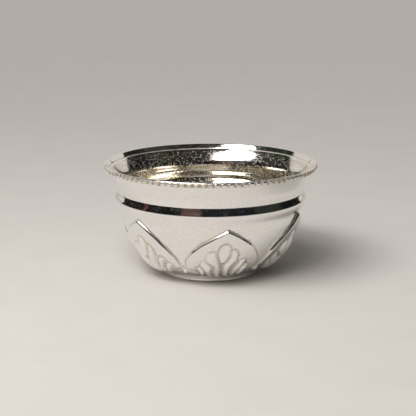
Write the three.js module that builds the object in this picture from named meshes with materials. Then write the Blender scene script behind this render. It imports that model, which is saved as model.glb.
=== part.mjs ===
import * as THREE from "three";

// A small silver bowl: a spun sheet with six chased petals, a milled half-round wire under its lip, and a foot ring.
// Millimetres, +Z up. The origin is the middle of the foot's underside, and -Y is the front.

// Foot ring: a short band with a slight waist, soldered under the flat of the body
const FOOT_RADIUS = 21;
const FOOT_HEIGHT = 2.4;
const FOOT_THICKNESS = 1.4;
const FOOT_WAIST = 0.15;

// Body sheet: heights are stacked from the foot ring upwards, radii are those of the outer face
const WALL = 0.7;
const BASE_OVERHANG = 0.8;
const BELLY_HEIGHT = 23.9;
const BELLY_START_SLOPE = THREE.MathUtils.degToRad(9.5);
const BELLY_START_PULL = 5.2;
const BELLY_TOP_PULL = 9.4;
const GROOVE_RADIUS = 36.2;
const BAND_HEIGHT = 6.4;
const BAND_START_LEAN = THREE.MathUtils.degToRad(40);
const BAND_START_PULL = 3.7;
const BAND_END_LEAN = THREE.MathUtils.degToRad(28);
const BAND_END_PULL = 3.3;
const NECK_RADIUS = 37.4;
const NECK_HEIGHT = 3.3;
const NECK_LEAN = 0.3;
const FLARE_HEIGHT = 5.4;
const FLARE_WIDTH = 3.25;
const FLARE_START_SLOPE = THREE.MathUtils.degToRad(64);
const FLARE_START_PULL = 3.3;
const LIP_LENGTH = 2.5;
const LIP_SLOPE = THREE.MathUtils.degToRad(57);

// Petals: each fills its share of the belly's round, and its tip stops short of the groove under the band
const PETALS = 6;
const FIRST_PETAL = THREE.MathUtils.degToRad(9.3);
const TIP_BELOW_GROOVE = 1.2;
const PETAL_POWER = 2.35;
const RIDGE_PROUD = 1.05;
const RIDGE_WIDTH = 1.5;
const BORDER_WIDTH = 3.6;
const FIELD_DROP = 0.5;
const PETAL_FADE = 4.5;
const TAPER_STEP = 0.01;
const DISH_PROUD = 0.6;

// Palmette inside each petal: lobes fan out from a root above the petal's foot. Turn and half angle in degrees.
const ROOT_RISE = 3;
const LOBE_PROUD = 0.8;
const LOBE_END = 2.5;
const LOBES = [
  { turn: 0, half: 10, reach: 17.5 },
  { turn: 18, half: 8, reach: 15 },
  { turn: 38, half: 11, reach: 12.2 },
  { turn: 63, half: 13, reach: 9.6 },
];

// Milled wire: a flattened half-round, its flat side along the underside of the lip
const BEAD_RADIUS = 1.05;
const BEAD_PROUD = 0.8;
const BEAD_PITCH = 2.55;
const NOTCH_DEPTH = 0.36;
const NOTCH_SHARPNESS = 6;
const SEAT_GAP = 0.3;

// Fineness of the meshes: columns across half a petal, and how many of them lie inside its outline. They keep within
// a least and a most share of the petal's pitch, and even out again over a short height below the groove.
const HALF_COLUMNS = 15;
const OUTLINE_COLUMN = 11;
const LEAST_ROOM = 0.2;
const MOST_ROOM = 0.94;
const EVEN_ROOM = OUTLINE_COLUMN / HALF_COLUMNS;
const EVENING_HEIGHT = 4;

// One in so many columns goes on round the plain stretches, and one in so many rows on the belly's inner face
const COLUMN_EVERY = 3;
const STEPS = (2 * PETALS * HALF_COLUMNS) / COLUMN_EVERY;
const INNER_ROW_EVERY = 2;
const BELLY_ROWS = 18;
const BAND_ROWS = 7;
const FLARE_ROWS = 3;
const STEPS_PER_BEAD = 4;
const BEAD_ARC_STEPS = 4;

const { clamp, radToDeg, smoothstep } = THREE.MathUtils;
const SILVER = { color: 0xd9d3ca, metalness: 1 };

// Outer profile of the sheet, points as (radius, height)
const belly = new THREE.CubicBezierCurve(
  new THREE.Vector2(FOOT_RADIUS + BASE_OVERHANG, FOOT_HEIGHT),
  new THREE.Vector2(
    FOOT_RADIUS + BASE_OVERHANG + BELLY_START_PULL * Math.cos(BELLY_START_SLOPE),
    FOOT_HEIGHT + BELLY_START_PULL * Math.sin(BELLY_START_SLOPE),
  ),
  new THREE.Vector2(GROOVE_RADIUS, FOOT_HEIGHT + BELLY_HEIGHT - BELLY_TOP_PULL),
  new THREE.Vector2(GROOVE_RADIUS, FOOT_HEIGHT + BELLY_HEIGHT),
);
const bellyLength = belly.getLength();
const groove = belly.v3;
const crease = new THREE.Vector2(NECK_RADIUS, groove.y + BAND_HEIGHT);
const band = new THREE.CubicBezierCurve(
  groove,
  new THREE.Vector2(
    groove.x + BAND_START_PULL * Math.sin(BAND_START_LEAN),
    groove.y + BAND_START_PULL * Math.cos(BAND_START_LEAN),
  ),
  new THREE.Vector2(
    crease.x + BAND_END_PULL * Math.sin(BAND_END_LEAN),
    crease.y - BAND_END_PULL * Math.cos(BAND_END_LEAN),
  ),
  crease,
);
const neckTop = new THREE.Vector2(NECK_RADIUS + NECK_LEAN, crease.y + NECK_HEIGHT);
const lipStart = neckTop.clone().add(new THREE.Vector2(FLARE_WIDTH, FLARE_HEIGHT));
const alongLip = new THREE.Vector2(Math.cos(LIP_SLOPE), Math.sin(LIP_SLOPE));
const underLip = new THREE.Vector2(alongLip.y, -alongLip.x);
const lipEnd = lipStart.clone().addScaledVector(alongLip, LIP_LENGTH);
const flareTurn = new THREE.Vector2(Math.cos(FLARE_START_SLOPE), Math.sin(FLARE_START_SLOPE));
const flare = new THREE.QuadraticBezierCurve(
  neckTop,
  neckTop.clone().addScaledVector(flareTurn, FLARE_START_PULL),
  lipStart,
);

// How far along the belly each row lies: even steps up to the petals' tips, then the groove
const tipAlong = 1 - TIP_BELOW_GROOVE / bellyLength;
const bellyAlongs = Array.from({ length: BELLY_ROWS }, (_, i) => (tipAlong * i) / (BELLY_ROWS - 1));
bellyAlongs.push(1);

// Half the width of a petal, as a share of its pitch, at a height on the belly
function petalShare(height) {
  const tip = BELLY_HEIGHT - TIP_BELOW_GROOVE;
  const rise = clamp((height - FOOT_HEIGHT) / tip, 0, 1);
  return (1 - rise ** PETAL_POWER) / 2;
}

// Where a point of the belly lies in its petal: across it, up it, and how far inside its outline
function petalPlace(azimuth, along) {
  const pitch = (2 * Math.PI) / PETALS;
  const turn = azimuth - FIRST_PETAL;
  const off = turn - pitch * Math.round(turn / pitch);
  const point = belly.getPointAt(along);
  const above = belly.getPointAt(Math.min(1, along + TAPER_STEP));
  const width = petalShare(point.y) * pitch * point.x;
  const widthAbove = petalShare(above.y) * pitch * above.x;
  const taper = (width - widthAbove) / (TAPER_STEP * bellyLength);
  const across = off * point.x;
  const inside = (width - Math.abs(across)) / Math.hypot(1, taper);
  return { across, up: along * bellyLength, inside };
}

// Height of the palmette's lobes above the petal's field
function palmette({ across, up }) {
  const reach = Math.hypot(across, up - ROOT_RISE);
  const turn = radToDeg(Math.atan2(Math.abs(across), up - ROOT_RISE));
  let height = 0;
  for (const lobe of LOBES) {
    const side = clamp(Math.abs(turn - lobe.turn) / lobe.half, 0, 1);
    const end = 1 - smoothstep(reach, lobe.reach - LOBE_END, lobe.reach);
    height = Math.max(height, Math.cos((side * Math.PI) / 2) * end);
  }
  return LOBE_PROUD * height;
}

// How far the chased petals stand proud of the belly: a ridge along the outline, a border, and the lobes inside
function petalRelief(azimuth, along) {
  const place = petalPlace(azimuth, along);
  const ridge = RIDGE_PROUD * smoothstep(place.inside, 0, RIDGE_WIDTH);
  const field = smoothstep(place.inside, RIDGE_WIDTH, RIDGE_WIDTH + BORDER_WIDTH);
  const lobes = smoothstep(place.inside, BORDER_WIDTH, RIDGE_WIDTH + BORDER_WIDTH) * palmette(place);
  return (ridge - FIELD_DROP * field + lobes) * smoothstep(place.up, 0, PETAL_FADE);
}

// The softer bulge that the same chasing leaves on the inner face
function innerRelief(azimuth, along) {
  const place = petalPlace(azimuth, along);
  const dish = smoothstep(place.inside, RIDGE_WIDTH, RIDGE_WIDTH + BORDER_WIDTH);
  return DISH_PROUD * dish * smoothstep(place.up, 0, PETAL_FADE);
}

// Azimuths of the even columns round the plain stretches, from the middle of the gap before the first petal
function evenColumns() {
  const start = FIRST_PETAL - Math.PI / PETALS;
  return Array.from({ length: STEPS }, (_, i) => start + (2 * Math.PI * i) / STEPS);
}

// Azimuths of the finer columns at a height on the belly, with one column along each petal's outline
function petalColumns(height) {
  const pitch = (2 * Math.PI) / PETALS;
  const evening = EVEN_ROOM * (1 - (groove.y - height) / EVENING_HEIGHT);
  const room = clamp(Math.max(2 * petalShare(height), evening), LEAST_ROOM, MOST_ROOM);
  const azimuths = [];
  for (let petal = 0; petal < PETALS; petal += 1) {
    for (let column = -HALF_COLUMNS; column < HALF_COLUMNS; column += 1) {
      const count = Math.abs(column);
      const beyond = Math.max(0, count - OUTLINE_COLUMN) / (HALF_COLUMNS - OUTLINE_COLUMN);
      const share = room * Math.min(1, count / OUTLINE_COLUMN) + (1 - room) * beyond;
      azimuths.push(FIRST_PETAL + pitch * (petal + (Math.sign(column) * share) / 2));
    }
  }
  return azimuths;
}

// A ring of points at these azimuths; relief moves each of them along the profile's normal
function ring(azimuths, point, normal, relief) {
  return azimuths.map((azimuth) => {
    const proud = relief ? relief(azimuth) : 0;
    const radius = point.x + normal.x * proud;
    return new THREE.Vector3(radius * Math.sin(azimuth), -radius * Math.cos(azimuth), point.y + normal.y * proud);
  });
}

// Triangles between two rings, numbered from their first points. Each ring is one point on the axis, or its count is
// the other's or a whole multiple of it.
function stitch(lower, upper) {
  const index = [];
  const a = (i) => lower.first + (i % lower.count);
  const b = (i) => upper.first + (i % upper.count);
  const wide = Math.max(lower.count, upper.count);
  const narrow = Math.min(lower.count, upper.count);
  if (narrow === 1) {
    for (let i = 0; i < wide; i += 1) {
      index.push(...(lower.count === 1 ? [a(0), b(i + 1), b(i)] : [a(i), a(i + 1), b(0)]));
    }
    return index;
  }
  const share = wide / narrow;
  const middle = Math.floor(share / 2);
  for (let i = 0; i < narrow; i += 1) {
    for (let j = 0; j < share; j += 1) {
      const near = j < middle ? i : i + 1;
      const far = i * share + j;
      index.push(...(lower.count === narrow ? [a(near), b(far + 1), b(far)] : [a(far), a(far + 1), b(near)]));
    }
    const far = i * share + middle;
    index.push(...(lower.count === narrow ? [a(i), a(i + 1), b(far)] : [a(far), b(i + 1), b(i)]));
  }
  return index;
}

// A closed body from rings of points, the first and the last of them a single point on the axis
function solidFromRings(rings) {
  const positions = [];
  const index = [];
  let lower = null;
  for (const points of rings) {
    const upper = { first: positions.length / 3, count: points.length };
    for (const point of points) positions.push(point.x, point.y, point.z);
    if (lower) index.push(...stitch(lower, upper));
    lower = upper;
  }
  const geometry = new THREE.BufferGeometry();
  geometry.setAttribute("position", new THREE.Float32BufferAttribute(positions, 3));
  geometry.setIndex(index);
  return geometry;
}

// Unit normals of a profile that runs upwards, each between the directions of its two neighbours
function profileNormals(points) {
  return points.map((point, i) => {
    const before = points[Math.max(0, i - 1)];
    const after = points[Math.min(points.length - 1, i + 1)];
    const run = after.clone().sub(before);
    return new THREE.Vector2(run.y, -run.x).normalize();
  });
}

// The sheet: up the outer face from the flat, over the lip's edge, and down the inner face to the floor
function bowlBody() {
  const profile = bellyAlongs.map((along) => belly.getPointAt(along));
  profile.push(...band.getPoints(BAND_ROWS).slice(1), neckTop, ...flare.getPoints(FLARE_ROWS).slice(1), lipEnd);
  const normals = profileNormals(profile);
  normals[normals.length - 1] = underLip;
  const outer = [];
  const inner = [];
  profile.forEach((point, i) => {
    const along = bellyAlongs[i];
    const onBelly = i > 0 && i < BELLY_ROWS;
    const petals = onBelly ? (azimuth) => petalRelief(azimuth, along) : null;
    outer.push(ring(onBelly ? petalColumns(point.y) : evenColumns(), point, normals[i], petals));
    if (onBelly && i % INNER_ROW_EVERY > 0) return;
    const face = point.clone().addScaledVector(normals[i], -WALL);
    face.y = Math.max(face.y, FOOT_HEIGHT + WALL);
    const dishes = onBelly ? (azimuth) => innerRelief(azimuth, along) : null;
    inner.unshift(ring(evenColumns(), face, normals[i], dishes));
  });
  const underside = [new THREE.Vector3(0, 0, FOOT_HEIGHT)];
  const floor = [new THREE.Vector3(0, 0, FOOT_HEIGHT + WALL)];
  return solidFromRings([underside, ...outer, ...inner, floor]);
}

// A closed section turned round the upright axis
function turned(section, steps) {
  return new THREE.LatheGeometry([...section, section[0]], steps).rotateX(Math.PI / 2);
}

function footRing() {
  const inner = FOOT_RADIUS - FOOT_THICKNESS;
  const outline = [
    new THREE.Vector2(inner, 0),
    new THREE.Vector2(FOOT_RADIUS, 0),
    new THREE.Vector2(FOOT_RADIUS - FOOT_WAIST, FOOT_HEIGHT / 2),
    new THREE.Vector2(FOOT_RADIUS, FOOT_HEIGHT),
    new THREE.Vector2(inner, FOOT_HEIGHT),
  ];
  return turned(outline, STEPS);
}

// The flattened half-round wire, drawn in towards the middle of its flat side at each notch
function beadedRim() {
  const centre = lipEnd
    .clone()
    .addScaledVector(alongLip, -BEAD_RADIUS)
    .addScaledVector(underLip, SEAT_GAP);
  const section = [];
  for (let i = 0; i <= BEAD_ARC_STEPS; i += 1) {
    const turn = Math.PI * (i / BEAD_ARC_STEPS - 0.5);
    const out = BEAD_PROUD * Math.cos(turn);
    section.push(centre.clone().addScaledVector(underLip, out).addScaledVector(alongLip, BEAD_RADIUS * Math.sin(turn)));
  }
  const beads = Math.round((2 * Math.PI * centre.x) / BEAD_PITCH);
  const wire = turned(section, beads * STEPS_PER_BEAD);
  const position = wire.getAttribute("position");
  for (let i = 0; i < position.count; i += 1) {
    const azimuth = Math.atan2(position.getX(i), -position.getY(i));
    const notch = Math.cos((beads * azimuth) / 2) ** NOTCH_SHARPNESS;
    const share = 1 - (NOTCH_DEPTH / BEAD_RADIUS) * notch;
    const radius = centre.x + (Math.hypot(position.getX(i), position.getY(i)) - centre.x) * share;
    const height = centre.y + (position.getZ(i) - centre.y) * share;
    position.setXYZ(i, radius * Math.sin(azimuth), -radius * Math.cos(azimuth), height);
  }
  return wire;
}

function silverMesh(name, geometry, roughness) {
  const mesh = new THREE.Mesh(geometry, new THREE.MeshStandardMaterial({ ...SILVER, roughness }));
  mesh.name = name;
  return mesh;
}

const bowl = new THREE.Group();
bowl.add(silverMesh("bowl_body", bowlBody(), 0.12));
bowl.add(silverMesh("beaded_rim", beadedRim(), 0.2));
bowl.add(silverMesh("foot_ring", footRing(), 0.18));

export default bowl;
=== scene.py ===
"""A small silver bowl: a sheet chased with six lotus petals, a milled wire under its lip, and a foot ring.

The file is laid out as an add-on. The property groups hold the sizes and finishes, each piece has an
operator that makes it, and a panel in the 3D view's sidebar lists them. Run as a script, it makes the bowl
and its stage.
"""

import math

import bpy
import numpy as np
from bpy.props import FloatProperty, FloatVectorProperty, IntProperty, PointerProperty
from bpy.types import Operator, Panel, PropertyGroup
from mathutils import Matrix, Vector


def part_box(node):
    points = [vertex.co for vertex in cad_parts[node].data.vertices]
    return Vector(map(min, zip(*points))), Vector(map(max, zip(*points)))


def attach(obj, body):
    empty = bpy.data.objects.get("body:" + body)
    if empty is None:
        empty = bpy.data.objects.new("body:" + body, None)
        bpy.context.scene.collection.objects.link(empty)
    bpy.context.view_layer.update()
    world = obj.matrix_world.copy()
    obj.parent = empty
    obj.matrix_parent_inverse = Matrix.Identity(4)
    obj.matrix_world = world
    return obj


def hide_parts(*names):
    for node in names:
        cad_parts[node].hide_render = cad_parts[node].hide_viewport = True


bl_info = {
    "name": "Chased silver bowl",
    "version": (1, 0, 0),
    "blender": (4, 5, 0),
    "location": "View3D > Sidebar > Silver bowl",
    "description": "Makes a silver bowl with chased lotus petals, a milled rim and a foot ring",
    "category": "Add Mesh",
}

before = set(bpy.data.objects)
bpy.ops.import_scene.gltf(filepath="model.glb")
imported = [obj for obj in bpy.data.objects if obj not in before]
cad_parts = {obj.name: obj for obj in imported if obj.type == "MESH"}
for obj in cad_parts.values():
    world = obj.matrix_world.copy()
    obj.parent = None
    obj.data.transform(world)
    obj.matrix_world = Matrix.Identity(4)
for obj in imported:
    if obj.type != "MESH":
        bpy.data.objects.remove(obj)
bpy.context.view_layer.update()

MM = 0.001
TURN = 2 * math.pi
FOOT_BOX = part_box("foot_ring")


# Properties


def length(name, description, millimetres):
    """A length in metres, with its default given in millimetres."""
    return FloatProperty(
        name=name,
        description=description,
        default=millimetres * MM,
        min=0.0,
        unit="LENGTH",
        subtype="DISTANCE",
    )


def angle(name, description, degrees):
    return FloatProperty(name=name, description=description, default=math.radians(degrees), subtype="ANGLE")


def colour(name, description, value):
    return FloatVectorProperty(
        name=name, description=description, default=value, size=3, min=0.0, max=1.0, subtype="COLOR"
    )


def amount(name, description, value, most=1.0):
    return FloatProperty(name=name, description=description, default=value, min=0.0, max=most)


class SheetSizes(PropertyGroup):
    """The spun sheet, from its flat underside up to the lip"""

    wall: length("Wall", "Thickness of the sheet", 0.7)
    base_height: length("Base height", "Height of the sheet's flat underside", FOOT_BOX[1].z / MM)
    base_radius: length("Base radius", "Radius of the flat underside", 21.8)
    belly_height: length("Belly height", "Height of the chased belly", 23.9)
    belly_slope: angle("Belly slope", "Slope at which the belly leaves the flat", 9.5)
    belly_pull: length("Belly start pull", "How far the belly keeps to that slope", 5.2)
    belly_top_pull: length("Belly top pull", "How far the belly runs upright below the groove", 9.4)
    groove_radius: length("Groove radius", "Radius of the groove between belly and band", 36.2)
    band_height: length("Band height", "Height of the plain band", 6.4)
    band_start_slope: angle("Band start slope", "Slope at which the band leaves the groove", 50.0)
    band_start_pull: length("Band start pull", "How far the band keeps to that slope", 3.7)
    band_end_slope: angle("Band end slope", "Slope at which the band comes in to the neck", 62.0)
    band_end_pull: length("Band end pull", "How far the band keeps to that slope", 3.3)
    neck_radius: length("Neck radius", "Radius of the neck above the band", 37.4)
    neck_height: length("Neck height", "Height of the upright neck", 3.3)
    neck_lean: length("Neck lean", "How far the neck leans out on that height", 0.3)
    flare_height: length("Flare height", "Height of the curve out to the lip", 5.4)
    flare_width: length("Flare width", "How far that curve leans out", 3.25)
    flare_slope: angle("Flare slope", "Slope at which the flare leaves the neck", 64.0)
    flare_pull: length("Flare pull", "How far the flare keeps to that slope", 3.3)
    lip_length: length("Lip length", "Width of the lip", 2.5)
    lip_slope: angle("Lip slope", "Slope of the lip above the horizon", 57.0)
    seam_depth: length("Lip line depth", "Depth of the line turned at the foot of the lip's inner face", 0.03)
    seam_width: length("Lip line width", "Width of that line", 0.4)
    corner: length("Corner softness", "How far polishing rounds the corners", 0.4)
    groove_softness: length("Groove softness", "How far the groove under the band is rounded", 0.9)


class PetalSizes(PropertyGroup):
    """The chased petals and what stands inside them"""

    count: IntProperty(name="Petals", description="Petals round the belly", default=6, min=3, max=12)
    first: angle("First petal", "Turn of the front petal from the front", 9.3)
    power: amount("Petal fullness", "How long a petal stays wide before it closes", 2.35, 5.0)
    uneven: length("Unevenness", "How far the hand-chased outline wanders", 0.12)
    ridge: length("Ridge height", "How far the outline stands proud of the belly", 1.05)
    ridge_run: length("Ridge run", "Width of the outline's steep outer face", 0.85)
    border_fall: length("Border fall", "How far the border sinks towards the lobes", 0.3)
    border: length("Border width", "Width of the smooth border", 4.0)
    base_share: amount("Ridge at the base", "Share of the outline's height left at the petals' base", 0.5)
    roundness: amount("Lobe roundness", "How far a lobe bulges, as a share of half its width", 1.0)
    tip_round: amount("Tip roundness", "How far it bulges at its tip, as the same share", 0.42)
    tip_run: length("Tip run", "How far from its tip a lobe reaches its full bulge", 4.0)
    most_width: length("Widest bulge", "Half width past which a lobe bulges no further", 1.5)
    low_chase: length("Low chased line", "Height of the sheet between the lobes at the base", 0.15)
    high_chase: length("High chased line", "Height of the sheet between the lobes at the tips", 0.38)
    chase_run: length("Chased line run", "How far the border slopes down to the lines", 0.9)
    dish: length("Dish", "How far a petal is pushed out on the inner face", 0.55)


class WireSizes(PropertyGroup):
    """The milled half-round wire under the lip"""

    radius: length("Wire radius", "Half the width of the wire's flat side", 1.05)
    proud: length("Wire height", "How far the wire stands proud of that side", 0.8)
    pitch: length("Bead pitch", "Length of one bead", 2.55)
    notch: length("Notch depth", "How deep the milling cuts between the beads", 0.52)


class FootSizes(PropertyGroup):
    """The foot ring"""

    radius: length("Foot radius", "Outer radius of the ring", FOOT_BOX[1].x / MM)
    thickness: length("Foot thickness", "Thickness of the band it is bent from", 1.4)
    waist: length("Foot waist", "How far its wall curves in", 0.15)
    edge: length("Foot edge", "Rounding of its edges", 0.2)


class SilverFinish(PropertyGroup):
    """Colour and wear of the silver"""

    silver: colour("Silver", "Colour of the clean metal", (0.94, 0.93, 0.915))
    patina: colour("Patina", "Colour of the dull patina left in the lines", (0.42, 0.32, 0.18))
    tarnish: colour("Tarnish", "Colour of the silver where tarnish tints the inner face", (0.74, 0.65, 0.47))
    roughness: amount("Roughness", "Roughness of the polished faces", 0.08)
    scratches: amount("Scratches", "Depth of the fine polishing scratches", 0.12)


class StageSetting(PropertyGroup):
    """The floor, the lamps and the room that the silver mirrors"""

    floor: colour("Floor", "Colour of the pale floor and backdrop", (0.64, 0.6, 0.56))
    sky: amount("Sky", "Strength of the soft light from above", 0.27, 10.0)
    lamp_power: amount("Lamp", "Power in watts of the near lamp that the silver mirrors", 0.95, 1000.0)
    lamp_reach: length("Lamp distance", "Distance of the near lamp from the bowl", 440.0)
    lamp_width: length("Lamp width", "Width of the near lamp", 325.0)
    lamp_depth: length("Lamp depth", "Depth of the near lamp", 122.0)
    lamp_turn: angle("Lamp turn", "Turn of the near lamp from the front, towards the right", -38.9)
    lamp_height: angle("Lamp height", "Height of the near lamp above the horizon", 55.9)
    key: amount("Window light", "Strength of the wide light from the left", 1.9, 100.0)
    key_size: angle("Window size", "How wide the window light is, which softens its shadow", 56.0)
    key_turn: angle("Window turn", "Turn of the window light from the front, towards the right", -44.0)
    key_height: angle("Window height", "Height of the window light above the horizon", 54.0)
    room: colour("Room", "Colour of the dark room that the silver reflects", (0.006, 0.007, 0.006))
    room_reach: length("Room size", "Distance of the dark room's walls", 1200.0)
    room_left: angle("Room, left end", "Turn of the dark room's left end from the front", -124.0)
    room_right: angle("Room, right end", "Turn of the dark room's right end from the front", 130.0)
    table: length("Table", "Distance of the pale floor's edge from the bowl's axis in that room", 206.0)


# Outlines


OUTLINE_STEP = 0.04 * MM


def smoothstep(value):
    value = np.clip(value, 0, 1)
    return value * value * (3 - 2 * value)


def ramp(value, start, run):
    """Rises softly from 0 at the start to 1 at the end of the run."""
    return smoothstep((value - start) / run)


def line(start, end, steps=40):
    share = np.linspace(0, 1, steps + 1)[:, None]
    return (1 - share) * np.array(start) + share * np.array(end)


def bezier(*corners, steps=200):
    """Points of a Bezier curve of any degree."""
    share = np.linspace(0, 1, steps + 1)[:, None]
    level = [np.array(corner, float) for corner in corners]
    while len(level) > 1:
        level = [(1 - share) * a + share * b for a, b in zip(level, level[1:])]
    return level[0]


def arc_between(start, end, proud, steps=120):
    """Points of the arc that stands proud of the chord, on the right-hand side of its run."""
    start, end = np.array(start), np.array(end)
    chord = end - start
    half = np.hypot(*chord) / 2
    radius = (half**2 + proud**2) / (2 * proud)
    along = chord / (2 * half)
    outward = np.array([along[1], -along[0]])
    centre = (start + end) / 2 + outward * (proud - radius)
    turns = np.linspace(-1, 1, steps + 1)[:, None] * math.asin(half / radius)
    return centre + radius * (outward * np.cos(turns) + along * np.sin(turns))


def smooth_line(points, steps=8):
    """A Catmull-Rom curve through rows of numbers."""
    p = np.array(points, float)
    p = np.vstack([2 * p[0] - p[1], p, 2 * p[-1] - p[-2]])
    share = (np.arange(steps) / steps)[:, None]
    stretches = []
    for a, b, c, d in zip(p, p[1:], p[2:], p[3:]):
        square = (2 * a - 5 * b + 4 * c - d) * share**2
        cube = (3 * b - a - 3 * c + d) * share**3
        stretches.append(0.5 * (2 * b + (c - a) * share + square + cube))
    return np.vstack([*stretches, p[-2:-1]])


def run_of(points):
    """Length along a line of points at each of them."""
    return np.concatenate([[0.0], np.cumsum(np.hypot(*np.diff(points[:, :2], axis=0).T))])


def evenly(points):
    """The same line with its points a step apart. All columns are carried along."""
    run = run_of(points)
    places = np.linspace(0, run[-1], max(2, round(run[-1] / OUTLINE_STEP)) + 1)
    return np.column_stack([np.interp(places, run, column) for column in points.T])


def soften(points, reach):
    """Rounds an even line's corners with a bell-shaped mean. Its ends stay."""
    width = max(1, round(3 * reach / OUTLINE_STEP))
    bell = np.exp(-0.5 * (np.arange(-width, width + 1) * OUTLINE_STEP / reach) ** 2)
    bell /= bell.sum()
    before = 2 * points[0] - points[width:0:-1]
    after = 2 * points[-1] - points[-2 : -width - 2 : -1]
    padded = np.vstack([before, points, after])
    return np.column_stack([np.convolve(column, bell, "valid") for column in padded.T])


def soften_near(points, place, reach):
    """Rounds an even line near one place along it, and leaves the rest as it is."""
    near = smoothstep(4 - np.abs(run_of(points) - place) / reach)[:, None]
    return points + near * (soften(points, reach) - points)


def normals_of(points):
    """Unit vectors to the right of the line's run."""
    along = np.gradient(points[:, :2], axis=0)
    along /= np.hypot(*along.T)[:, None]
    return np.column_stack([along[:, 1], -along[:, 0]])


class Outline:
    """A turned outline: points as (radius, height), and the place of each along the unpolished outline."""

    def __init__(self, points, places):
        self.points = points
        self.places = places
        self.run = run_of(points)

    def run_at(self, place):
        return np.interp(place, self.places, self.run)

    def point_at(self, place):
        return [np.interp(place, self.places, column) for column in self.points.T]


def step_from(point, reach, slope):
    """The point a length away at a slope above the horizon."""
    return (point[0] + reach * math.cos(slope), point[1] + reach * math.sin(slope))


def lip_ends(size):
    """Where the sheet's outer face turns into the lip, and where the lip ends."""
    neck_top = size.base_height + size.belly_height + size.band_height + size.neck_height
    start = (size.neck_radius + size.neck_lean + size.flare_width, neck_top + size.flare_height)
    return start, step_from(start, size.lip_length, size.lip_slope)


def sheet_outline(size):
    """The sheet's section from the axis up its outside, over the lip and down to the floor, and its marks."""
    flat_edge = (size.base_radius, size.base_height)
    groove = (size.groove_radius, size.base_height + size.belly_height)
    crease = (size.neck_radius, groove[1] + size.band_height)
    neck_top = (size.neck_radius + size.neck_lean, crease[1] + size.neck_height)
    lip_start, lip_end = lip_ends(size)
    belly_pull = step_from(flat_edge, size.belly_pull, size.belly_slope)
    band_pull = step_from(groove, size.band_start_pull, size.band_start_slope)
    band_end_pull = step_from(crease, size.band_end_pull, -size.band_end_slope)
    belly = bezier(flat_edge, belly_pull, (groove[0], groove[1] - size.belly_top_pull), groove)
    band = bezier(groove, band_pull, band_end_pull, crease)
    joined = evenly(np.vstack([belly, band]))
    rounded = soften_near(joined, run_of(belly)[-1], size.groove_softness)
    at_groove = np.searchsorted(rounded[:, 1], groove[1])
    stretches = {
        "flat": line((0, size.base_height), flat_edge),
        "belly": rounded[:at_groove],
        "band": rounded[at_groove:],
        "neck": line(crease, neck_top),
        "flare": bezier(neck_top, step_from(neck_top, size.flare_pull, size.flare_slope), lip_start),
        "lip": line(lip_start, lip_end),
    }
    outer = np.vstack(list(stretches.values()))
    ends = np.cumsum([len(points) for points in stretches.values()]) - 1
    marks = dict(zip(stretches, run_of(outer)[ends]))
    outer = soften(evenly(outer), size.corner)
    inner = outer - normals_of(outer) * size.wall
    floor = size.base_height + size.wall
    inner = np.column_stack([np.maximum(inner[:, 0], 0), np.maximum(inner[:, 1], floor)])[::-1]
    inner[-1, 0] = 0.0
    places = run_of(outer) * marks["lip"] / run_of(outer)[-1]
    marks["edge"] = marks["lip"] + size.wall
    joined = np.vstack([outer, inner])
    joined = np.column_stack([joined, np.concatenate([places, marks["edge"] + places])])
    joined = soften(evenly(joined), size.corner / 2)
    joined[[0, -1], 0] = 0.0
    marks["end"] = joined[-1, 2]
    return Outline(joined[:, :2], joined[:, 2]), marks


# Chasing


# Height of each petal's tip and how far it leans sideways, in mm, from the front petal round. They differ a
# little, because the sheet was chased by hand
PETAL_TIPS = [(24.6, 0.9), (25.9, 0.7), (25.3, 0.2), (25.6, -0.4), (25.1, 0.5), (25.8, 0.8)]

# Spines of the palmette's lobes from their tips down, as (across, up the belly, half width) in mm from the
# petal's middle and the flat's edge
PALMETTE = {
    "middle": [
        (0.2, 19.3, 2.4),
        (-0.05, 17.6, 2.45),
        (-0.2, 15.4, 2.0),
        (-0.75, 12.9, 1.0),
        (-1.2, 11.2, 0.2),
    ],
    "right_1": [
        (3.7, 17.9, 1.2),
        (3.85, 16.0, 1.75),
        (3.25, 14.0, 1.8),
        (2.3, 12.3, 1.8),
        (1.4, 10.0, 1.75),
        (1.3, 6.9, 1.6),
        (1.3, 4.6, 1.4),
    ],
    "right_2": [
        (8.3, 11.8, 0.8),
        (7.7, 12.8, 1.1),
        (6.7, 12.0, 1.25),
        (5.9, 10.3, 1.3),
        (4.8, 8.2, 1.2),
        (3.9, 4.8, 1.1),
    ],
    "right_3": [(9.9, 9.0, 0.7), (9.4, 9.8, 0.95), (8.4, 8.8, 1.1), (7.6, 7.4, 1.1), (6.5, 4.9, 1.0)],
    "left_1": [
        (-4.3, 17.0, 1.3),
        (-4.8, 15.8, 2.1),
        (-4.7, 14.4, 2.45),
        (-3.8, 12.7, 1.95),
        (-2.6, 10.8, 1.6),
        (-2.0, 6.4, 1.65),
        (-1.7, 4.5, 1.5),
    ],
    "left_2": [(-7.3, 12.1, 1.4), (-7.0, 10.9, 1.8), (-5.9, 9.3, 1.75), (-5.2, 6.6, 1.35), (-4.6, 4.7, 1.3)],
    "left_3": [(-9.3, 9.1, 0.95), (-8.6, 8.2, 1.15), (-7.9, 6.8, 1.1), (-7.2, 5.0, 1.0)],
}

# The small bud in each valley between two petals, in the same way, from the valley's middle
BUD = [(0, 9.0, 0.2), (0, 7.6, 0.7), (0, 6.2, 1.1)]


def soft_min(a, b, reach):
    """The lesser of two values, with the change from one to the other rounded."""
    return -reach * np.logaddexp(-a / reach, -b / reach)


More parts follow.
